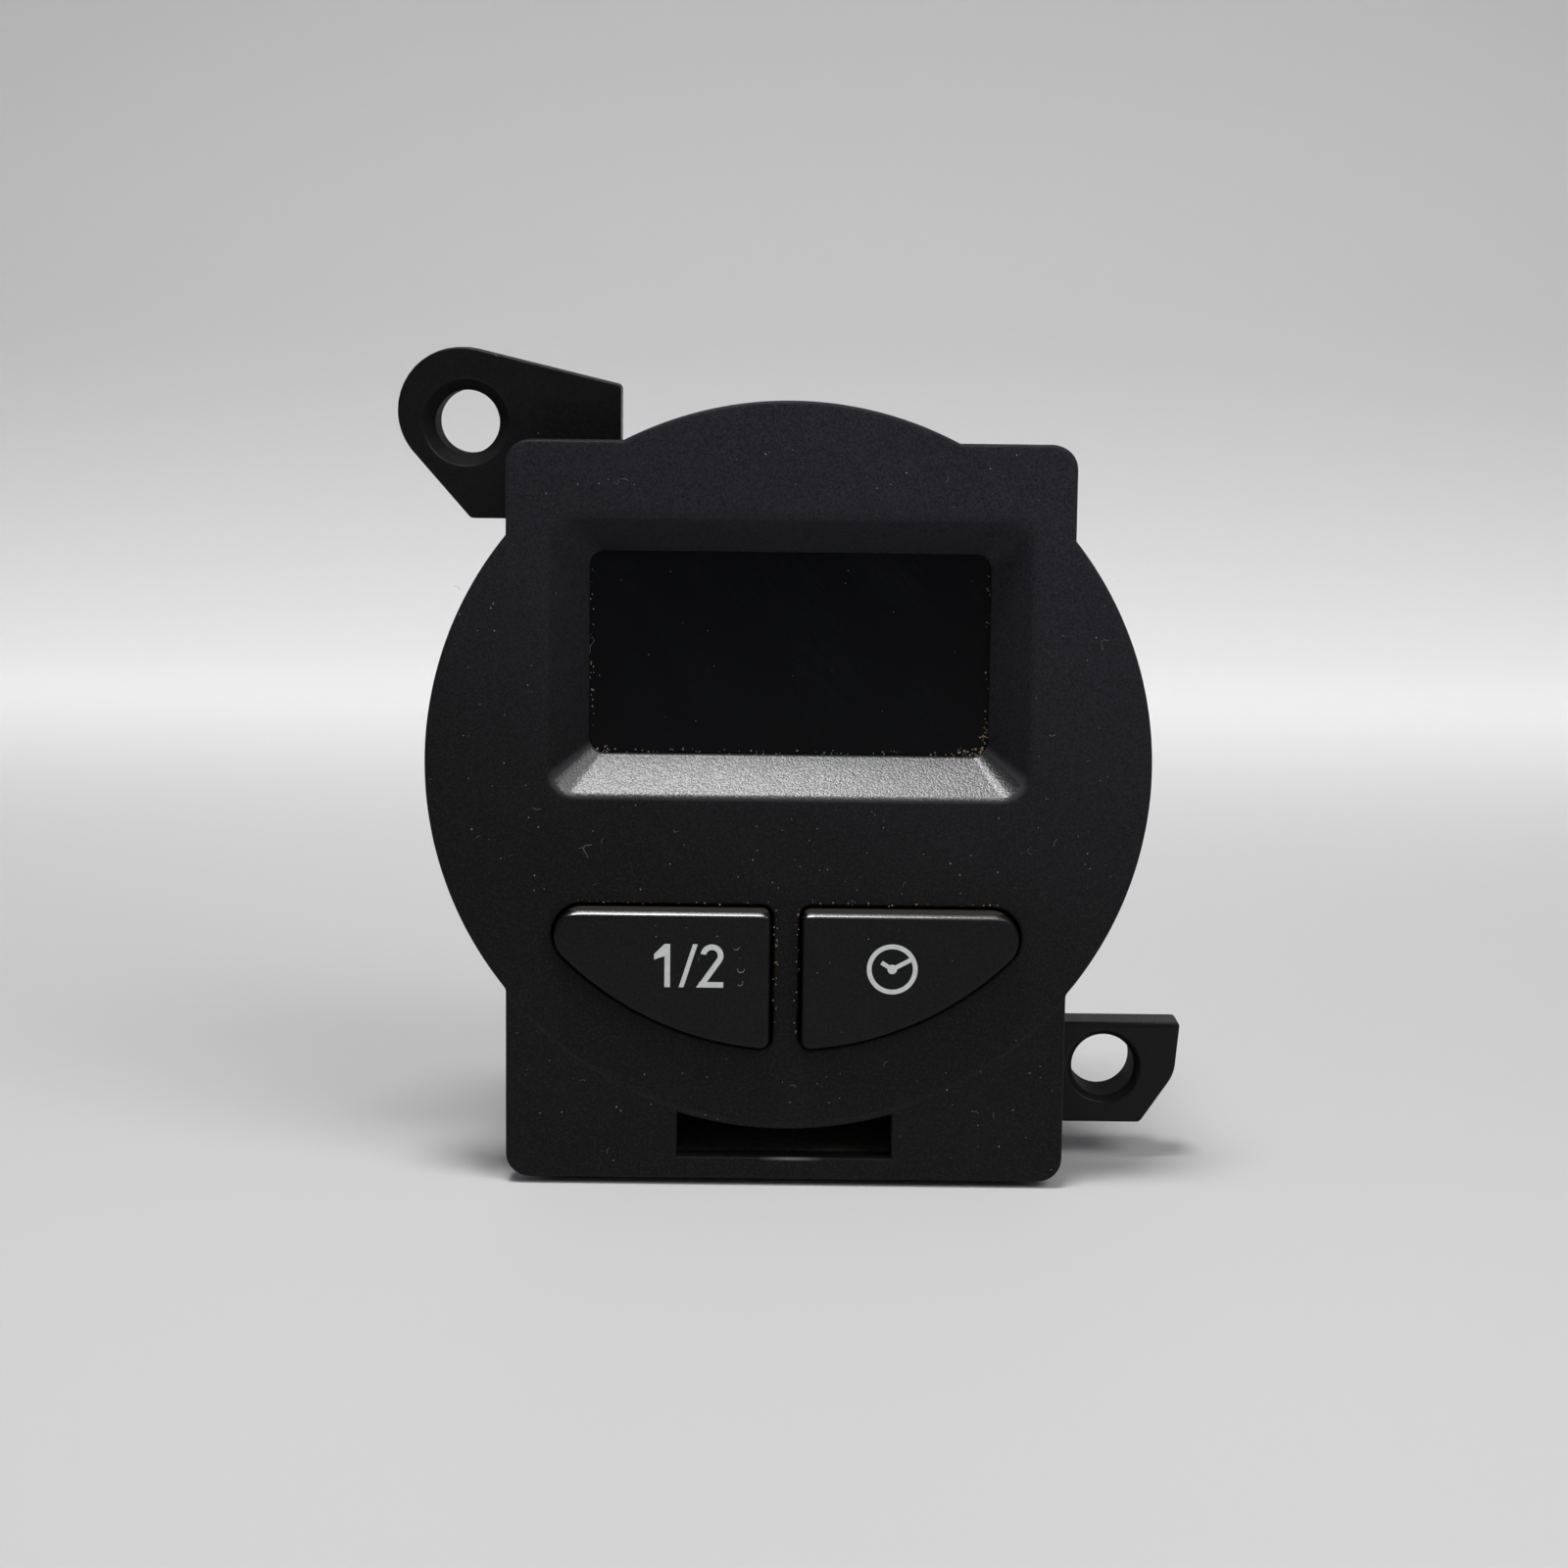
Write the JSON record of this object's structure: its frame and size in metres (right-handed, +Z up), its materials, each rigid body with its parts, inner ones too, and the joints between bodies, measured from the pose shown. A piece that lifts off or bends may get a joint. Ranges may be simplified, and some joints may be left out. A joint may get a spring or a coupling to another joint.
{
  "type": "on-board computer display",
  "caption": "Small dashboard display unit: disc-and-plate face, sunk smoked window, half-moon push buttons, lower slot, and a rear housing with fixing ears and a plug socket.",
  "frame": {"origin": "middle of the part's bounding box seen from above, on the surface that it stands on", "axes": "the face looks along -Y, +X is to its right, +Z is up"},
  "size_m": [0.0586, 0.0282, 0.0602],
  "materials": {
    "face_black": "fine-grained, matt",
    "housing_black": "smooth moulded, satin",
    "button_black": "smooth, satin",
    "window_smoke": "polished, smoked",
    "print_white": "printed",
    "socket_black": "moulded, satin",
    "pin_tin": "tin plated",
    "foam": "foam",
    "polariser_film": "film",
    "cell_glass": "polished",
    "diffuser_white": "matt",
    "carrier_white": "moulded",
    "strip_pink": "silicone with carbon layers",
    "lamp_case": "moulded",
    "board_green": "lacquered",
    "chip_black": "moulded epoxy",
    "chip_tan": "ceramic",
    "can_steel": "drawn",
    "can_aluminium": "drawn",
    "silicone": "matt",
    "carbon": "matt",
    "gold_plate": "plated",
    "screw_steel": "zinc plated"
  },
  "bodies": {
    "case": {"bezel": "face_black", "display_window": "window_smoke", "rear_housing": "housing_black", "connector_socket": "socket_black", "connector_pins": "pin_tin", "window_gasket": "foam", "front_polariser": "polariser_film", "lcd_front_glass": "cell_glass", "lcd_rear_glass": "cell_glass", "rear_polariser": "polariser_film", "light_diffuser": "diffuser_white", "display_carrier": "carrier_white", "upper_contact_strip": "strip_pink", "lower_contact_strip": "strip_pink", "backlight_leds": "lamp_case", "circuit_board": "board_green", "microcontroller": "chip_black", "quartz_crystal": "can_steel", "voltage_regulator": "chip_black", "supply_capacitor": "can_aluminium", "chip_resistors": "chip_black", "chip_capacitors": "chip_tan", "button_leds": "lamp_case", "contact_pads": "gold_plate", "keypad_mat": "silicone", "left_key_dome": "silicone", "right_key_dome": "silicone", "board_screws": "screw_steel"},
    "left_button": {"left_button_cap": "button_black", "left_symbol": "print_white", "left_contact_pill": "carbon"},
    "right_button": {"right_button_cap": "button_black", "right_symbol": "print_white", "right_contact_pill": "carbon"}
  },
  "joints": [
    {"name": "left_button_press", "type": "slide", "parent": "case", "child": "left_button", "axis": [0, 1, 0], "range_m": [0, 0.0009], "stiffness_N_per_m": 1500, "springref_m": -0.0003, "deforming": ["left_key_dome"]},
    {"name": "right_button_press", "type": "slide", "parent": "case", "child": "right_button", "axis": [0, 1, 0], "range_m": [0, 0.0009], "stiffness_N_per_m": 1500, "springref_m": -0.0003, "deforming": ["right_key_dome"]}
  ]
}
